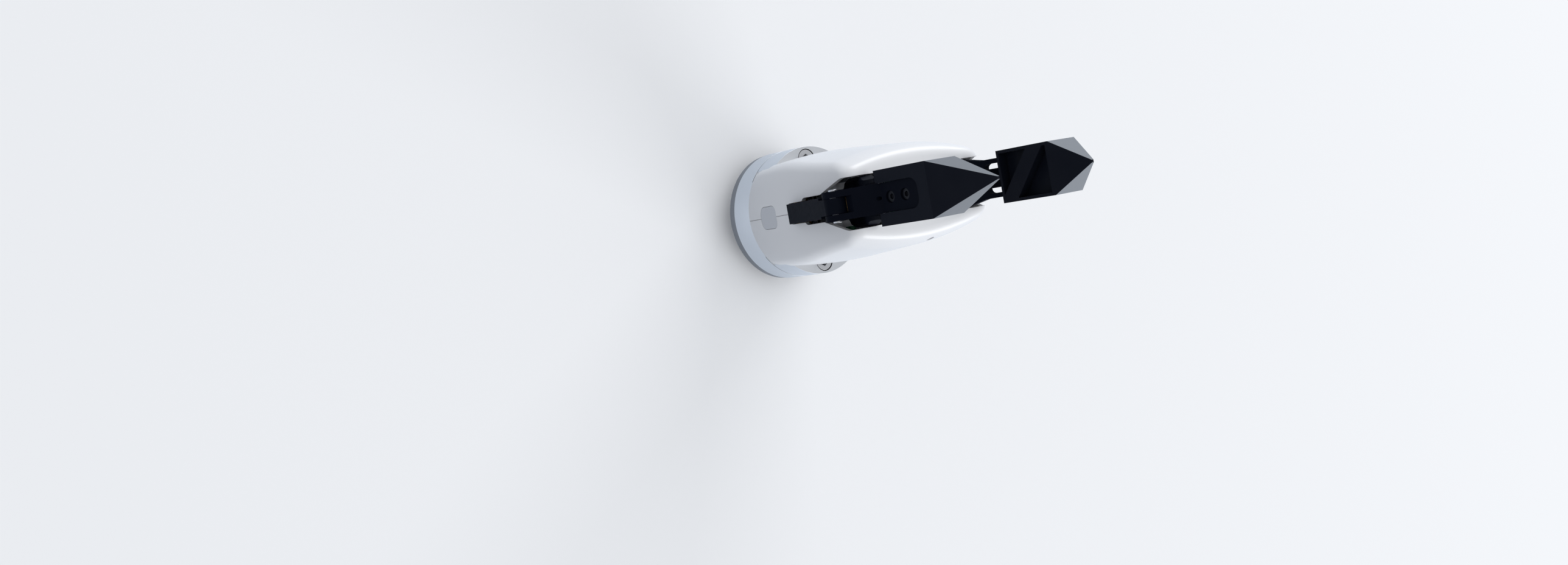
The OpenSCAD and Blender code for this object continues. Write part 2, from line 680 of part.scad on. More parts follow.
// Side view of the inner knuckle along its length
flare_u0 = 30;
flare_u1 = 39.5;
fork_u = 41;
ear_end_u = 10;
ear_r = inner_half + 1;
module inner_knuckle() {
    fork_in = inner_x - inner_arm;
    color("#1d2026") difference() {
        on_link(inner_base) difference() {
            // ears, arms and body share one side view
            yz(2 * inner_wide_x) union() {
                circle(r = ear_r);
                translate([link_len, 0]) circle(r = inner_end_r);
                polygon([[0, join - ear_r], [ear_end_u, -inner_out], [link_len - 8, -inner_out],
                         [link_len, join - inner_end_r], [link_len, inner_end_r - join],
                         [link_len - 8, inner_half], [ear_end_u, inner_half], [0, ear_r - join]]);
            }
            // outline of both sides, as seen across the link
            for (s = [0, 1]) mirror([s, 0, 0]) translate([0, 0, -20]) linear_extrude(40)
                polygon([[ear_x1, -20], [ear_x1, ear_end_u - 1], [inner_wide_x, ear_end_u + 3.3],
                         [inner_wide_x, flare_u0], [inner_x, flare_u1], [inner_x, link_len + 20],
                         [40, link_len + 20], [40, -20]]);
            // bevels along the outer edges of the wide end
            for (s = [-1, 1]) translate([s * inner_wide_x, 0, -inner_out]) rotate([0, 45, 0])
                cube([inner_bevel * sqrt(2), wide, inner_bevel * sqrt(2)], center = true);
            // fork around the finger, with round inner corners
            translate([0, 0, -20]) linear_extrude(40) {
                translate([-fork_in, fork_u + 2]) square([2 * fork_in, link_len]);
                translate([-fork_in + 2, fork_u]) square([2 * fork_in - 4, 4]);
                for (s = [-1, 1]) translate([s * (fork_in - 2), fork_u + 2]) circle(r = 2);
            }
            // gap between the ears, where the gear sector passes
            translate([0, 0, -20]) linear_extrude(40) {
                translate([-stub_x0, -20]) square([2 * stub_x0, 20 + ear_end_u + 9 - stub_x0]);
                translate([0, ear_end_u + 9 - stub_x0]) circle(r = stub_x0);
            }
            // square windows beside the middle web
            for (s = [-1, 1]) translate([s * 8.1, 27, -inner_half]) cube([3.6, 11, 5], center = true);
        }
        bar(inner_base, stub_r + running_fit, wide);
        bar(inner_tip, inner_pin_r, wide);
    }
}

// Side view of the finger, with its tenon, as [y, z]
module finger_side() {
    a = outer_tip;
    b = inner_tip;
    union() {
        translate(a) circle(r = knuckle_end_r);
        translate(b) circle(r = finger_boss_r);
        polygon([a + [3.6, 3.47], [tenon_outer_y, tip_z + 2.2], [tenon_outer_y, tip_z + 6],
                 [tenon_inner_y, tip_z + 6], [tenon_inner_y, b[1]],
                 b + [-finger_boss_r * 0.72, -finger_boss_r * 0.69], a + [-3.5, -3.57]]);
        translate([tenon_inner_y, tip_z + 2]) square([tenon_t, tenon_len - 2]);
    }
}
module tenon_outline(grow) {
    w = tenon_x + grow;
    r = tenon_corner;
    end = tip_z + tenon_len + grow;
    translate([-w, 0]) square([2 * w, end - r]);
    translate([-w + r, 0]) square([2 * (w - r), end]);
    for (s = [-1, 1]) translate([s * (w - r), end - r]) circle(r = r);
}
module finger() {
    color("#1f2228") difference() {
        intersection() {
            yz(finger_w) finger_side();
            xz(0, wide) union() {
                translate([-finger_w / 2, 0]) square([finger_w, tip_z + 0.1]);
                tenon_outline(0);
            }
        }
        // room for the outer knuckle's tongue
        yz(tongue_w + 0.3) translate(outer_tip) {
            tongue_sweep();
            translate([-2, 0]) square([wide, knuckle_end_r + fork_room]);
        }
        bar(outer_tip, finger_pin_r, wide);
        bar(inner_tip, inner_pin_r + running_fit, wide);
        for (z = tip_screws) translate([0, 0, z]) rotate([-90, 0, 0]) {
            cylinder(r = tip_screw_r + 0.1, h = wide);
            translate([0, 0, tenon_outer_y - head_sink]) cylinder(r = tip_screw_head_r + 0.15, h = wide);
        }
        // small sight hole behind the fingertip
        translate([0, 0, tip_z + 1.2]) rotate([-90, 0, 0]) translate([0, 0, tenon_outer_y - 1.6])
            cylinder(r = 0.9, h = 20);
    }
}
// Length of the open slot between the tongue's end and the finger's web
fork_room = 4.6;
// Space that the outer knuckle's end sweeps round its pin, in the Y-Z plane
module tongue_sweep() {
    r = knuckle_end_r + 0.8;
    reach = 20;
    far = [for (swing = [-open_swing, close_swing]) rest_deg + 180 + swing];
    circle(r = r);
    polygon([[0, 0], reach * [cos(far[0]), sin(far[0])], reach * [cos(far[1]), sin(far[1])]]);
    for (a = far) rotate(a) translate([0, -r]) square([reach, 2 * r]);
}
module finger_pin() { color("silver") bar(outer_tip, finger_pin_r, finger_w + 1.4); }
module inner_pin() { color("silver") bar(inner_tip, inner_pin_r, 2 * inner_x + 0.2); }

// ---------------------------------------------------------------- fingertips
head_sink = 2.8;
tip_screw_head_h = 1.8;
tip_screws = [tip_z + tip_screw_z, tip_z + tip_screw_z + tip_screw_pitch];
module tip_block() {
    k = point_blunt / 2;
    intersection() {
        // seen along Y
        xz(grip_y, tip_outer_y) polygon([[-tip_w / 2, tip_z], [tip_w / 2, tip_z], [tip_w / 2, shoulder_z],
                                         [k, apex_z], [-k, apex_z], [-tip_w / 2, shoulder_z]]);
        // seen along X
        yz(tip_w + 2) polygon([[grip_y, tip_z], [tip_outer_y, tip_z], [tip_outer_y, shoulder_z],
                               [grip_y + point_blunt, apex_z], [grip_y, apex_z]]);
    }
}
// Pockets in the gripping face, as seen along Y: one on each side of the diagonal rib
module pocket_outline() {
    x = tip_w / 2 - pocket_wall;
    za = tip_z + pocket_wall;
    zb = shoulder_z - 1.8;
    mid = tip_z + 13.6;
    slope = 0.86;
    half = rib_w / 2 * sqrt(1 + slope * slope);
    difference() {
        translate([-x, za]) square([2 * x, zb - za]);
        polygon([[-20, mid + 20 * slope + half], [20, mid - 20 * slope + half], [20, mid - 20 * slope - half],
                 [-20, mid + 20 * slope - half]]);
    }
}
module fingertip() {
    color("#33373e") difference() {
        tip_block();
        // seat of the finger's tenon
        xz(tenon_inner_y - tenon_gap, tip_outer_y + 5) tenon_outline(tenon_gap);
        // pockets in the gripping face
        xz(grip_y - 1, grip_y + pocket_d) pocket_outline();
        // room for the ends of the inner knuckle's fork
        bar_pair(inner_tip, inner_end_r + 0.35, inner_x - inner_arm - side_gap, inner_x + side_gap);
        for (s = [-1, 1]) translate([s * (inner_x - inner_arm / 2) - inner_arm / 2 - side_gap,
                                     inner_tip[0] - inner_end_r - 0.35, tip_z - 1])
            cube([inner_arm + 2 * side_gap, 2 * inner_end_r + 0.7, inner_tip[1] - tip_z + 1]);
        // clearance round the finger's boss
        bar(inner_tip, finger_boss_r + 0.3, finger_w + 0.6);
        // threaded holes, open to the pockets' floors only
        for (z = tip_screws) translate([0, grip_y + pocket_d - eps, z]) rotate([-90, 0, 0])
            cylinder(r = tip_screw_r, h = wide);
    }
}
module fingertip_screws() {
    color("dimgray") for (z = tip_screws) translate([0, 0, z]) rotate([-90, 0, 0]) {
        translate([0, 0, tenon_outer_y - head_sink]) difference() {
            cylinder(r = tip_screw_head_r, h = tip_screw_head_h);
            translate([0, 0, 0.7]) cylinder(r = 1.25, h = 4, $fn = 6);
        }
        translate([0, 0, grip_y + pocket_d + 0.6])
            cylinder(r = tip_screw_r, h = tenon_outer_y - head_sink - grip_y - pocket_d - 0.6 + eps);
    }
}

base_plate();
mounting_flange();
locating_pin();
mounting_screw(1);  // mounting_screw_a
mounting_screw(-1);  // mounting_screw_b
connector_socket();
shell_half(1);  // shell_half_a
shell_half(-1);  // shell_half_b
left() side_plug();  // side_plug_left
side_plug();  // side_plug_right
shell_screws();
frame();
motor();
gearhead();
worm();
worm_bearing(lower_bearing_z);  // worm_bearing_lower
worm_bearing(upper_bearing_z);  // worm_bearing_upper
encoder();
control_board();
left() outer_shaft();  // left_outer_shaft
outer_shaft();  // right_outer_shaft
left() inner_stubs();  // left_inner_stubs
inner_stubs();  // right_inner_stubs
left() thrust_bushes();  // left_thrust_bushes
thrust_bushes();  // right_thrust_bushes
left() outer_knuckle();  // left_outer_knuckle
outer_knuckle();  // right_outer_knuckle
left() gear_sector();  // left_gear_sector
gear_sector();  // right_gear_sector
left() inner_knuckle();  // left_inner_knuckle
inner_knuckle();  // right_inner_knuckle
left() finger();  // left_finger
finger();  // right_finger
left() finger_pin();  // left_finger_pin
finger_pin();  // right_finger_pin
left() inner_pin();  // left_inner_pin
inner_pin();  // right_inner_pin
left() fingertip();  // left_fingertip
fingertip();  // right_fingertip
left() fingertip_screws();  // left_fingertip_screws
fingertip_screws();  // right_fingertip_screws
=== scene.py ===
"""Look of the electric two finger gripper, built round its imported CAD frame. Units are metres."""

import math

import bmesh
import bpy
import numpy as np
from mathutils import Matrix, Vector


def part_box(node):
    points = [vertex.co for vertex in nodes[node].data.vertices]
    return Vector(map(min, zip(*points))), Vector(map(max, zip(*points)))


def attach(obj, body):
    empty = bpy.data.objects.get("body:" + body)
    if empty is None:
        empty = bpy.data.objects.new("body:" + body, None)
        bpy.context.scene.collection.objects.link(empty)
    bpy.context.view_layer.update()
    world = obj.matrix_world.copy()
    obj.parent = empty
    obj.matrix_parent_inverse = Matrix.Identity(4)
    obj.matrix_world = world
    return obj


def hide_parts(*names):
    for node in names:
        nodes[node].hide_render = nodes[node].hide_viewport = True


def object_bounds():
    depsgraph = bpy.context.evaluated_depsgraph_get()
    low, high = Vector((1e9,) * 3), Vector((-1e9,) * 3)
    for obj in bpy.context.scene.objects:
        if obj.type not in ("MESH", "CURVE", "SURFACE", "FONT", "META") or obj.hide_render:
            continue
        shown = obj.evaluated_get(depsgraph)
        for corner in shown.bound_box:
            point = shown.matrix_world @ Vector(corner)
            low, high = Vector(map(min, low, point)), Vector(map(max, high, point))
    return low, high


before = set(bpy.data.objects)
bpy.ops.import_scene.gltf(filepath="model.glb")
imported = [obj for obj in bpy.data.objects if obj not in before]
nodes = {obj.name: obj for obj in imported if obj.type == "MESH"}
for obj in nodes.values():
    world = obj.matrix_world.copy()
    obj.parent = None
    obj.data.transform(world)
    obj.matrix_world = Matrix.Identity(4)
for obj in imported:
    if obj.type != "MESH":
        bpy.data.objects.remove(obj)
cad_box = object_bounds()
MM = 0.001
# Distance between two waves of Blender's wave texture at a scale of 1
WAVE_PERIOD = math.pi / 10


# ---------------------------------------------------------------- materials
class Graph:
    """A material with one Principled shader and helpers that hang nodes on it."""

    def __init__(self, name, color, roughness, metallic=0.0, specular=0.5):
        self.material = bpy.data.materials.new(name)
        self.material.use_nodes = True
        self.tree = self.material.node_tree
        self.shader = self.tree.nodes["Principled BSDF"]
        self.color = (*color, 1.0)
        self.set("Base Color", self.color)
        self.set("Roughness", roughness)
        self.set("Metallic", metallic)
        self.set("Specular IOR Level", specular)
        self.place = self.node("ShaderNodeTexCoord").outputs["Object"]
        self.normal = None

    def set(self, socket, value):
        self.shader.inputs[socket].default_value = value

    def node(self, kind, **settings):
        made = self.tree.nodes.new(kind)
        for key, value in settings.items():
            setattr(made, key, value)
        return made

    def link(self, out, into):
        self.tree.links.new(out, into)

    def noise(self, size, detail=2.0, stretch=(1, 1, 1)):
        """A noise whose features are about size metres across, drawn out along the axes by stretch."""
        mapping = self.node("ShaderNodeMapping")
        mapping.inputs["Scale"].default_value = tuple(1 / (size * s) for s in stretch)
        self.link(self.place, mapping.inputs["Vector"])
        made = self.node("ShaderNodeTexNoise")
        made.inputs["Scale"].default_value = 1.0
        made.inputs["Detail"].default_value = detail
        self.link(mapping.outputs["Vector"], made.inputs["Vector"])
        return made.outputs["Fac"]

    def waves(self, pitch, kind="RINGS", axis="Z", wobble=0.0):
        """Fine parallel or ring-shaped tool marks a pitch apart."""
        made = self.node("ShaderNodeTexWave", wave_type=kind)
        setattr(made, "rings_direction" if kind == "RINGS" else "bands_direction", axis)
        made.inputs["Scale"].default_value = WAVE_PERIOD / pitch
        made.inputs["Distortion"].default_value = wobble
        self.link(self.place, made.inputs["Vector"])
        return made.outputs["Fac"]

    def ramp(self, value, low, high):
        """value, which runs from 0 to 1, spread over low to high."""
        made = self.node("ShaderNodeMapRange")
        made.inputs["To Min"].default_value = low
        made.inputs["To Max"].default_value = high
        self.link(value, made.inputs["Value"])
        return made.outputs["Result"]

    def vary_roughness(self, value, low, high):
        self.link(self.ramp(value, low, high), self.shader.inputs["Roughness"])

    def tint(self, value, other):
        """Blends the base colour towards other where value is high."""
        mix = self.node("ShaderNodeMix", data_type="RGBA")
        self.link(value, mix.inputs["Factor"])
        mix.inputs["A"].default_value = self.color
        mix.inputs["B"].default_value = (*other, 1.0)
        self.link(mix.outputs["Result"], self.shader.inputs["Base Color"])

    def graze(self, start, full, roughness, ior=2.2):
        """A satin gloss that comes up only where the surface is seen at a grazing angle."""
        weight = self.node("ShaderNodeMapRange")
        weight.inputs["From Min"].default_value = start
        weight.inputs["From Max"].default_value = full
        self.link(self.node("ShaderNodeLayerWeight").outputs["Facing"], weight.inputs["Value"])
        self.link(weight.outputs["Result"], self.shader.inputs["Coat Weight"])
        self.set("Coat Roughness", roughness)
        self.set("Coat IOR", ior)

    def bump(self, value, height):
        """Relief of the given height in metres, added to any relief before it."""
        made = self.node("ShaderNodeBump")
        made.inputs["Strength"].default_value = 1.0
        made.inputs["Distance"].default_value = height
        self.link(value, made.inputs["Height"])
        if self.normal is not None:
            self.link(self.normal, made.inputs["Normal"])
        self.normal = made.outputs["Normal"]
        self.link(self.normal, self.shader.inputs["Normal"])


def white_shell():
    g = Graph("white_shell", (0.88, 0.885, 0.9), 0.4)
    g.set("Coat Weight", 0.25)
    g.set("Coat Roughness", 0.12)
    g.tint(g.noise(0.03), (0.86, 0.867, 0.885))
    g.vary_roughness(g.noise(0.012), 0.36, 0.46)
    rounded = g.node("ShaderNodeBevel", samples=6)
    rounded.inputs["Radius"].default_value = 0.00035
    g.normal = rounded.outputs["Normal"]
    g.bump(g.noise(0.0025, 1.0), 0.000008)
    return g.material


def grey_plastic():
    g = Graph("grey_plastic", (0.66, 0.68, 0.72), 0.4)
    g.vary_roughness(g.noise(0.006), 0.38, 0.48)
    g.bump(g.noise(0.0006), 0.000012)
    return g.material


def bare_aluminium():
    g = Graph("bare_aluminium", (0.74, 0.755, 0.775), 0.34, metallic=1.0)
    g.vary_roughness(g.noise(0.004, 3.0), 0.28, 0.4)
    g.tint(g.noise(0.02), (0.68, 0.695, 0.72))
    g.bump(g.waves(0.0004, wobble=0.4), 0.0000025)
    g.bump(g.noise(0.00025), 0.000004)
    return g.material


def frame_aluminium():
    g = Graph("frame_aluminium", (0.62, 0.63, 0.65), 0.36, metallic=1.0)
    g.vary_roughness(g.noise(0.003, 3.0, (1, 1, 12)), 0.28, 0.46)
    g.bump(g.waves(0.0008, "BANDS", "Z", 1.0), 0.000004)
    return g.material


def dark_metal():
    g = Graph("dark_metal", (0.27, 0.278, 0.295), 0.4, metallic=0.7)
    g.vary_roughness(g.noise(0.004, 3.0), 0.34, 0.48)
    g.bump(g.waves(0.0004, wobble=0.4), 0.000002)
    return g.material


def black_aluminium():
    g = Graph("black_aluminium", (0.003, 0.0042, 0.0085), 0.55, specular=0.03)
    g.tint(g.noise(0.01, 4.0), (0.0048, 0.006, 0.011))
    g.vary_roughness(g.noise(0.002, 4.0), 0.5, 0.64)
    g.bump(g.noise(0.00022), 0.00001)
    return g.material


def charcoal_plastic():
    g = Graph("charcoal_plastic", (0.0045, 0.006, 0.0115), 0.42, specular=0.06)
    g.graze(0.45, 0.72, 0.25, ior=2.4)
    g.tint(g.noise(0.008, 4.0), (0.008, 0.0096, 0.0155))
    g.vary_roughness(g.noise(0.0016, 4.0), 0.38, 0.5)
    g.bump(g.noise(0.0005), 0.000015)
    return g.material


def black_plastic():
    g = Graph("black_plastic", (0.014, 0.0145, 0.016), 0.5, specular=0.4)
    g.vary_roughness(g.noise(0.002), 0.45, 0.6)
    g.bump(g.noise(0.0004), 0.00001)
    return g.material


def steel():
    g = Graph("steel", (0.6, 0.605, 0.62), 0.27, metallic=1.0)
    g.vary_roughness(g.noise(0.0015, 3.0, (12, 1, 1)), 0.2, 0.36)
    g.bump(g.waves(0.0003, "BANDS", "X", 0.6), 0.0000015)
    return g.material


def motor_steel():
    g = Graph("motor_steel", (0.15, 0.155, 0.165), 0.36, metallic=1.0)
    g.vary_roughness(g.noise(0.003, 3.0, (1, 1, 10)), 0.3, 0.44)
    return g.material


def black_steel():
    g = Graph("black_steel", (0.005, 0.006, 0.01), 0.42, specular=0.2)
    g.vary_roughness(g.noise(0.0012, 4.0), 0.35, 0.5)
    g.tint(g.noise(0.003, 3.0), (0.008, 0.009, 0.014))
    return g.material


def bronze():
    g = Graph("bronze", (0.66, 0.44, 0.2), 0.3, metallic=1.0)
    g.vary_roughness(g.noise(0.002, 3.0), 0.24, 0.42)
    g.tint(g.noise(0.004, 3.0), (0.5, 0.31, 0.13))
    return g.material


def board():
    g = Graph("board", (0.02, 0.14, 0.06), 0.35)
    g.vary_roughness(g.noise(0.001), 0.3, 0.45)
    tracks = g.waves(0.0012, "BANDS", "Y", 3.0)
    g.tint(g.ramp(tracks, 0.0, 0.6), (0.03, 0.2, 0.08))
    g.bump(tracks, 0.00003)
    return g.material


FINISHES = (white_shell, grey_plastic, bare_aluminium, frame_aluminium, dark_metal, black_aluminium,
            charcoal_plastic, black_plastic, steel, motor_steel, black_steel, bronze, board)
finish_of = {make.__name__: make() for make in FINISHES}


# ---------------------------------------------------------------- moulded shell
# Sizes in millimetres that the boxes of the nodes don't give.
# Radius of the long side curve, and the height at which the shell is widest
CURVE_R, CURVE_Z = 330.0, 110.0
# Rounds between side and palm, along the creases between side and cheek, and between cheek and slope
EDGE_R, CREASE_R, SLOPE_R = 6.5, 3.0, 4.0
# Upper cheek: half width at its top, crown radius and inward tilt
CHEEK_X, CHEEK_R, CHEEK_TILT = 23.3, 165.0, math.radians(4.4)
# Lower cheek: half width at the lugs and tilt, and the width over which the two cheeks blend
LOW_X, LOW_TILT, CHEEK_BLEND = 26.0, math.radians(2.9), 1.2
# Slope between cheek and palm
SLOPE_W, SLOPE_H = 4.0, 5.6
# Wall thickness, and half the gap between the two mouldings
WALL, SEAM = 2.2, 0.07
# Half widths of a palm slot: over the outer knuckle's hub, along its neck and at its flared mouth
NOTCH_X, SLOT_X, SLOT_WIDE_X = 4.9, 6.2, 11.7
# Heights of a palm slot: foot of the neck, and start and end of the flare
SLOT_Z, FLARE_Z0, FLARE_Z1 = 69.3, 84.3, 99.0
# How far the notch starts below the outer knuckle's axis, and the round at the foot of the neck
NOTCH_DROP, SLOT_CORNER_R = 0.9, 2.4
# Half width of the bridge between the two palm slots
BRIDGE_Y = 10.5
# Corner round of a side plug, the gap round it, and how far inside the flange's radius its hole starts
PLUG_R, PLUG_GAP, PLUG_DEPTH = 3.6, 0.12, 8.0
# Room for the outer knuckle's hub: radius and half length
HUB_R, HUB_X = 4.6, 7.4
# Inner face of the lugs, inner face of the skirt beside them, and the gaps round both
LUG_X, SKIRT_X, LUG_GAP, SKIRT_GAP = 18.5, 23.4, 0.2, 0.15
# Bore over a mounting screw's head, how far it rises past the lugs, and the tilt of the tool channel above it
HEAD_BORE_R, HEAD_BORE_RISE, CHANNEL_TILT = 5.4, 1.6, math.radians(25)
# The screws that join the halves: counterbore, its floor, and the radius of the posts inside
SCREW_HOLE_R, SCREW_SEAT_X, POST_R = 1.9, 18.8, 2.4
# Places of those screws: (y, z) of the lower one, and y and the drop below the palm of the upper one
LOW_SCREW, HIGH_SCREW_Y, HIGH_SCREW_DROP = (24.0, 34.0), 8.0, 7.6
# A distance past the shell on every side; cutting bodies end a little apart there, so that no faces coincide
PAST = 60.0
# Height at which the shell's level rings give way to the rings that close over the palm
TURN_Z = 80.0
# Longest way from the centre line that is searched for the form, and how often that way is halved
SEARCH, HALVINGS = 120.0, 36

shell_low, shell_high = (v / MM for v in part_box("shell_half_a"))
seat_z, palm_z = shell_low.z, shell_high.z
flange_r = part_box("mounting_flange")[1].y / MM
lug_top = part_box("mounting_flange")[1].z / MM
curve_x = flange_r - math.sqrt(CURVE_R**2 - (CURVE_Z - seat_z) ** 2)


def round_corner(a, b, r):
    """Inside of both a and b, with their common edge rounded by r."""
    a, b = a + r, b + r
    return np.minimum(np.maximum(a, b), 0) + np.hypot(np.maximum(a, 0), np.maximum(b, 0)) - r


def shell_form(x, y, z, t=0.0):
    """Distance outside the shell's outer form, drawn inwards by t, in millimetres; below 0 inside it."""
    x = np.abs(x)
    side = np.hypot(np.hypot(x, y) - curve_x, z - CURVE_Z) - CURVE_R + t
    palm = z - palm_z + t
    up = z - (palm_z - SLOPE_H)
    lean = (x - CHEEK_X) * math.cos(CHEEK_TILT) + up * math.sin(CHEEK_TILT) + CHEEK_R
    cheek = np.hypot(lean, y) - CHEEK_R + t
    lean = (x - LOW_X) * math.cos(LOW_TILT) - (z - lug_top) * math.sin(LOW_TILT) + CHEEK_R
    low = np.hypot(lean, y) - CHEEK_R + t
    cheek = np.maximum(cheek, low) + np.maximum(CHEEK_BLEND - np.abs(cheek - low), 0) ** 2 / (4 * CHEEK_BLEND)
    k = SLOPE_W / SLOPE_H
    slope = (np.hypot(x - CHEEK_X + CHEEK_R, y) - CHEEK_R + k * up) / math.hypot(1, k) + t
    ends = round_corner(side, palm, EDGE_R - t)
    flanks = round_corner(cheek, slope, SLOPE_R - t)
    return round_corner(ends, flanks, CREASE_R - t)


def reach(start, ray, t):
    """The points where rays from start leave the form, for a whole array of rays at once."""
    near, far = np.zeros(ray.shape[:-1]), np.full(ray.shape[:-1], SEARCH)
    for _ in range(HALVINGS):
        mid = (near + far) / 2
        p = start + ray * mid[..., None]
        inside = shell_form(p[..., 0], p[..., 1], p[..., 2], t) < 0
        near, far = np.where(inside, mid, near), np.where(inside, far, mid)
    return start + ray * near[..., None]


def mesh_object(name, points, faces):
    """A mesh object from points in millimetres."""
    mesh = bpy.data.meshes.new(name)
    mesh.from_pydata([tuple(p) for p in np.asarray(points) * MM], [], faces)
    obj = bpy.data.objects.new(name, mesh)
    bpy.context.scene.collection.objects.link(obj)
    return obj


def form_body(name, t, bottom, round_steps, level_steps, dome_steps):
    """The form as a closed body: level rings up the sides, then rings that close over the palm."""
    level = np.linspace(bottom, TURN_Z, level_steps)
    lift = np.radians(np.linspace(0, 90, dome_steps + 1)[1:-1])
    heights = np.concatenate([level, np.full(len(lift), TURN_Z)])
    lifts = np.concatenate([np.zeros(len(level)), lift])
    around = np.radians(np.arange(round_steps) * 360 / round_steps + 90 / round_steps)
    start = np.zeros((len(heights), round_steps, 3))
    start[..., 2] = heights[:, None]
    flat, up = np.cos(lifts)[:, None], np.sin(lifts)[:, None]
    ray = np.stack(np.broadcast_arrays(flat * np.cos(around), flat * np.sin(around), up), -1)
    rings = reach(start, ray, t)
    top = reach(np.array([0.0, 0.0, TURN_Z]), np.array([0.0, 0.0, 1.0]), t)
    points = np.vstack([rings.reshape(-1, 3), top])
    faces = [tuple(reversed(range(round_steps)))]
    for i in range(len(heights)):
        for j in range(round_steps):
            a, b = i * round_steps + j, i * round_steps + (j + 1) % round_steps
            if i + 1 < len(heights):
                faces.append((a, b, b + round_steps, a + round_steps))
            else:
                faces.append((a, b, len(points) - 1))
    return mesh_object(name, points, faces)


def prism(outline, low, high, axis="Y"):
    """A closed body with the given outline, seen along axis, between two distances along it."""
    def at(u, v, w):
        return {"X": (w, u, v), "Y": (u, w, v), "Z": (u, v, w)}[axis]
    n = len(outline)
    points = [at(u, v, w) for w in (low, high) for u, v in outline]
    faces = [tuple(range(n)), tuple(reversed(range(n, 2 * n)))]
    faces += [(j, j + n, (j + 1) % n + n, (j + 1) % n) for j in range(n)]
    obj = mesh_object("tool", points, faces)
    shape = bmesh.new()
    shape.from_mesh(obj.data)
    bmesh.ops.recalc_face_normals(shape, faces=shape.faces)
    shape.to_mesh(obj.data)
    shape.free()
    return obj


def arc(u, v, r, start, end, steps=8):
    """Points along a circle round (u, v), from one angle in degrees to another."""
    return [(u + r * math.cos(math.radians(a)), v + r * math.sin(math.radians(a)))
            for a in (start + (end - start) * i / steps for i in range(steps + 1))]


def box_outline(u0, v0, u1, v1):
    """Corners of a rectangle."""
    return [(u0, v0), (u1, v0), (u1, v1), (u0, v1)]


def combine(target, tool, how):
    """Joins tool to target or cuts it away, and removes tool."""
    step = target.modifiers.new("step", "BOOLEAN")
    step.solver = "EXACT"
    step.operation = how
    step.object = tool
    graph = bpy.context.evaluated_depsgraph_get()
    mesh = bpy.data.meshes.new_from_object(target.evaluated_get(graph))
    target.modifiers.clear()
    target.data = mesh
    bpy.data.objects.remove(tool)


def joined(parts):
    """All the parts as one body."""
    first = parts[0]
    for part in parts[1:]:
        combine(first, part, "UNION")
    return first


def cylinder(place, r, low, high, axis="Z"):
    """A cylinder along axis, round the given place in the plane across it."""
    u, v = place
    sides = 48
    return prism(arc(u, v, r, 0, 360 - 360 / sides, sides - 1), low, high, axis)


def slot_outline(pivot_z):
    """One palm slot as seen along Y: a notch over the outer knuckle, a narrow neck and a flared mouth."""
    mid = SLOT_X - SLOT_CORNER_R
    start = -math.degrees(math.acos((NOTCH_X - mid) / SLOT_CORNER_R))
    right = [(NOTCH_X, pivot_z - NOTCH_DROP)]
    right += arc(mid, SLOT_Z + SLOT_CORNER_R, SLOT_CORNER_R, start, 0)
    right += [(SLOT_X, FLARE_Z0), (SLOT_WIDE_X, FLARE_Z1), (SLOT_WIDE_X, palm_z + 10)]
    return right + [(-u, v) for u, v in reversed(right)]


def plug_outline():
    """The hole for a side plug as seen along Y."""
    low, high = (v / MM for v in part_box("side_plug_right"))
    r = PLUG_R + PLUG_GAP
    u, v0, v1 = high.x - PLUG_R, low.z + PLUG_R, high.z - PLUG_R
    return arc(u, v1, r, 0, 90) + arc(-u, v1, r, 90, 180) + arc(-u, v0, r, 180, 270) + arc(u, v0, r, 270, 360)


def middle_of(node):
    """Middle of a node's box, in millimetres."""
    low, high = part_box(node)
    return (low + high) / 2 / MM


def channel(side, head_x):
    """The tilted channel that a tool reaches a mounting screw by."""
    tool = cylinder((0, 0), HEAD_BORE_R, 0, PAST)
    foot = Matrix.Translation((side * head_x * MM, 0, (lug_top - 2) * MM))
    tool.data.transform(foot @ Matrix.Rotation(side * CHANNEL_TILT, 4, "Y"))
    return tool


def shell_cuts(screws):
    """Everything that is cut from the hollow shell, as one body."""
    pivot = middle_of("right_outer_shaft")
    head_x = abs(middle_of("mounting_screw_a").x)
    lug_y = math.sqrt(flange_r**2 - SKIRT_X**2) + LUG_GAP
    parts = [prism(box_outline(-SEAM, -PAST, SEAM, PAST), -3, 2 * PAST, "Z")]
    for s in (-1, 1):
        near, far = sorted((s * BRIDGE_Y, s * (PAST + 2)))
        parts.append(prism(slot_outline(pivot.z), near, far))
        near, far = sorted((s * (flange_r - PLUG_DEPTH), s * (PAST + 1)))
        parts.append(prism(plug_outline(), near, far))
        parts.append(cylinder((s * pivot.y, pivot.z), HUB_R, -HUB_X, HUB_X, "X"))
        near, far = sorted((s * (LUG_X - LUG_GAP), s * PAST))
        parts.append(prism(box_outline(near, -lug_y, far, lug_y), 0, lug_top + LUG_GAP, "Z"))
        near, far = sorted((s * SKIRT_X, s * (PAST + 1)))
        parts.append(prism(box_outline(near, -PAST - 3, far, PAST + 3), -1, lug_top + SKIRT_GAP, "Z"))
        parts.append(cylinder((s * head_x, 0), HEAD_BORE_R, -2, lug_top + HEAD_BORE_RISE))
        parts.append(channel(s, head_x))
    parts += [cylinder(place, SCREW_HOLE_R, SCREW_SEAT_X, PAST + 4, "X") for place in screws]
    return joined(parts)


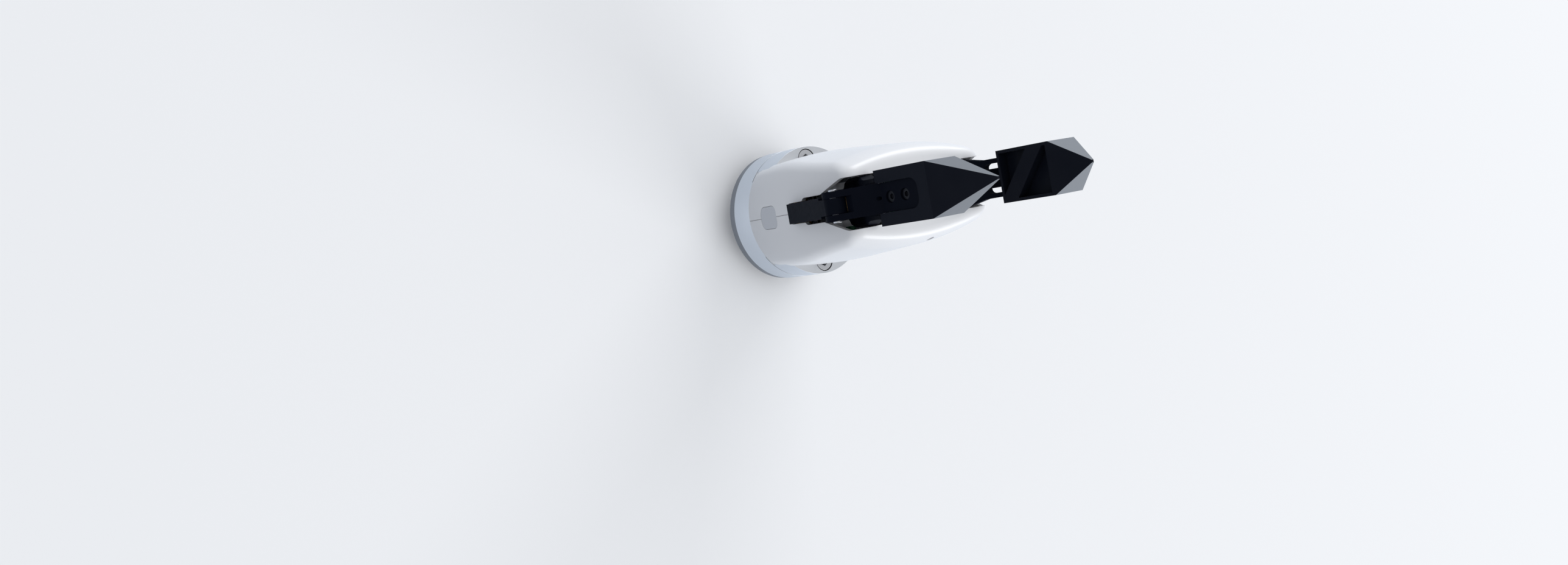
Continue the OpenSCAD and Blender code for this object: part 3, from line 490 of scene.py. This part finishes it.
def shell_halves():
    """The two mouldings: the hollow form with its posts and openings, parted on the centre plane."""
    screws = [LOW_SCREW, (HIGH_SCREW_Y, palm_z - HIGH_SCREW_DROP)]
    cavity = form_body("cavity", WALL, seat_z - 1, round_steps=180, level_steps=24, dome_steps=60)
    for y, z in screws + [(-LOW_SCREW[0], LOW_SCREW[1])]:
        combine(cavity, cylinder((y, z), POST_R, -PAST, PAST, "X"), "DIFFERENCE")
    shell = form_body("shell", 0.0, seat_z, round_steps=360, level_steps=44, dome_steps=116)
    combine(shell, cavity, "DIFFERENCE")
    combine(shell, shell_cuts(screws), "DIFFERENCE")
    for side, node in ((1, "shell_half_a"), (-1, "shell_half_b")):
        half = bmesh.new()
        half.from_mesh(shell.data)
        far = [v for v in half.verts if v.co.x * side < 0]
        bmesh.ops.delete(half, geom=far, context="VERTS")
        mesh = bpy.data.meshes.new(node + "_moulded")
        half.to_mesh(mesh)
        half.free()
        mesh.materials.append(finish_of["white_shell"])
        mesh.shade_smooth()
        mesh.set_sharp_from_angle(angle=math.radians(28))
        obj = bpy.data.objects.new(node + "_moulded", mesh)
        bpy.context.scene.collection.objects.link(obj)
        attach(obj, "base")
        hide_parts(node)
    bpy.data.objects.remove(shell)


shell_halves()


# ---------------------------------------------------------------- carried-over CAD nodes
def soften(obj, width):
    """Small rounded edges on a CAD node, so that they catch the light."""
    weld = obj.modifiers.new("weld", "WELD")
    weld.merge_threshold = 0.001 * MM
    flat = obj.modifiers.new("flat", "DECIMATE")
    flat.decimate_type = "DISSOLVE"
    flat.angle_limit = math.radians(0.4)
    edge = obj.modifiers.new("edge", "BEVEL")
    edge.width = width
    edge.segments = 2
    edge.limit_method = "ANGLE"
    edge.angle_limit = math.radians(32)
    edge.harden_normals = True
    edge.miter_outer = "MITER_ARC"
    even = obj.modifiers.new("even", "WEIGHTED_NORMAL")
    even.keep_sharp = True


# Finish of each node whose name holds the key; the longest such key counts
SLOT_OF = {
    "base_plate": "dark_metal", "mounting_flange": "bare_aluminium", "locating_pin": "steel",
    "mounting_screw": "steel", "connector_socket": "black_plastic", "shell_half": "white_shell",
    "side_plug": "grey_plastic", "shell_screws": "black_steel", "frame": "frame_aluminium",
    "motor": "motor_steel", "gearhead": "steel", "worm_bearing": "steel", "worm": "bronze", "encoder": "board",
    "control_board": "board", "outer_shaft": "steel", "inner_stubs": "steel", "thrust_bushes": "bronze",
    "outer_knuckle": "black_aluminium", "gear_sector": "bronze", "inner_knuckle": "black_aluminium",
    "fingertip_screws": "black_steel", "fingertip": "charcoal_plastic", "finger_pin": "steel",
    "inner_pin": "steel", "finger": "black_aluminium",
}
# Width of the rounded edges in each finish, and in every other
EDGE_OF = {"black_aluminium": 0.3 * MM, "charcoal_plastic": 0.3 * MM, "bare_aluminium": 0.35 * MM,
           "dark_metal": 0.3 * MM, "white_shell": 0.3 * MM}
FINE_EDGE = 0.15 * MM


def slot_for(name):
    """The finish of the node with this name."""
    return next(SLOT_OF[key] for key in sorted(SLOT_OF, key=len, reverse=True) if key in name)


for name, obj in nodes.items():
    slot = slot_for(name)
    obj.data.materials.clear()
    obj.data.materials.append(finish_of[slot])
    soften(obj, EDGE_OF.get(slot, FINE_EDGE))


# ---------------------------------------------------------------- stage, light and camera
# Radius of the floor, and the gap that keeps it clear of the object
FLOOR_R, FLOOR_GAP = 4.0, 0.2 * MM
# The lamps stand behind the object on its left and right and light its cheeks
LAMP_X, LAMP_Y, LAMP_Z, LAMP_SIZE = 3.75, 2.75, 1.0, (3.5, 2.75)
# The camera looks down on the object from the front, rolled so that the fingers point to the right
CAMERA_AT, CAMERA_TARGET, CAMERA_ROLL = (0.0, -0.5256, 0.6421), (0.0336, 0.0, -0.0056), 82.83


def floor_material():
    """Pale to the camera, cooler in reflections, and duller where it throws light back on the object."""
    g = Graph("floor", (0.97, 0.975, 0.985), 0.9, specular=0.0)
    path = g.node("ShaderNodeLightPath")
    seen = g.node("ShaderNodeMath", operation="MAXIMUM")
    g.link(path.outputs["Is Camera Ray"], seen.inputs[0])
    g.link(path.outputs["Is Transmission Ray"], seen.inputs[1])
    mirrored = g.node("ShaderNodeMix", data_type="RGBA")
    g.link(path.outputs["Is Glossy Ray"], mirrored.inputs["Factor"])
    mirrored.inputs["A"].default_value = (0.36, 0.375, 0.405, 1.0)
    mirrored.inputs["B"].default_value = (0.82, 0.885, 0.97, 1.0)
    mix = g.node("ShaderNodeMix", data_type="RGBA")
    g.link(seen.outputs[0], mix.inputs["Factor"])
    g.link(mirrored.outputs["Result"], mix.inputs["A"])
    mix.inputs["B"].default_value = g.color
    g.link(mix.outputs["Result"], g.shader.inputs["Base Color"])
    return g.material


def floor(z):
    """A round floor at height z."""
    mesh = bpy.data.meshes.new("floor")
    shape = bmesh.new()
    level = Matrix.Translation((0, 0, z))
    bmesh.ops.create_circle(shape, cap_ends=True, segments=96, radius=FLOOR_R, matrix=level)
    shape.to_mesh(mesh)
    shape.free()
    mesh.materials.append(floor_material())
    obj = bpy.data.objects.new("floor", mesh)
    bpy.context.scene.collection.objects.link(obj)


def aim(obj, eye, target, roll=0.0):
    """Puts obj at eye, looking at target, turned about its own line of sight by roll degrees."""
    look = (Vector(target) - Vector(eye)).to_track_quat("-Z", "Y").to_matrix().to_4x4()
    obj.matrix_world = Matrix.Translation(eye) @ look @ Matrix.Rotation(math.radians(roll), 4, "Z")


def softbox(name, eye, target, power):
    """A large soft lamp at eye that faces target."""
    lamp = bpy.data.lights.new(name, "AREA")
    lamp.shape = "RECTANGLE"
    lamp.size, lamp.size_y = LAMP_SIZE
    lamp.energy = power
    obj = bpy.data.objects.new(name, lamp)
    obj.visible_camera = False
    bpy.context.scene.collection.objects.link(obj)
    aim(obj, eye, target)


def sky(strength, shade, seen):
    """Even light of the given shade from all round, which the camera sees in the colour seen."""
    world = bpy.data.worlds.new("sky")
    bpy.context.scene.world = world
    world.use_nodes = True
    tree = world.node_tree
    back = tree.nodes["Background"]
    path = tree.nodes.new("ShaderNodeLightPath")
    color = tree.nodes.new("ShaderNodeMix")
    color.data_type = "RGBA"
    color.inputs["A"].default_value = (*[strength * c for c in shade], 1.0)
    color.inputs["B"].default_value = (*seen, 1.0)
    tree.links.new(path.outputs["Is Camera Ray"], color.inputs["Factor"])
    tree.links.new(color.outputs["Result"], back.inputs["Color"])


middle = (cad_box[0] + cad_box[1]) / 2
floor(cad_box[0].z - FLOOR_GAP)
sky(strength=0.68, shade=(0.95, 0.975, 1.015), seen=(0.86, 0.865, 0.875))
softbox("side_low", (LAMP_X, LAMP_Y, LAMP_Z), middle, power=134.0)
softbox("side_high", (-LAMP_X, LAMP_Y, LAMP_Z), middle, power=142.0)

camera = bpy.data.objects.new("camera", bpy.data.cameras.new("camera"))
bpy.context.scene.collection.objects.link(camera)
camera.data.sensor_width = 36.0
camera.data.lens = 37.735
camera.data.clip_start = 0.02
aim(camera, CAMERA_AT, CAMERA_TARGET, CAMERA_ROLL)
bpy.context.scene.camera = camera
bpy.context.scene.view_settings.view_transform = "Standard"
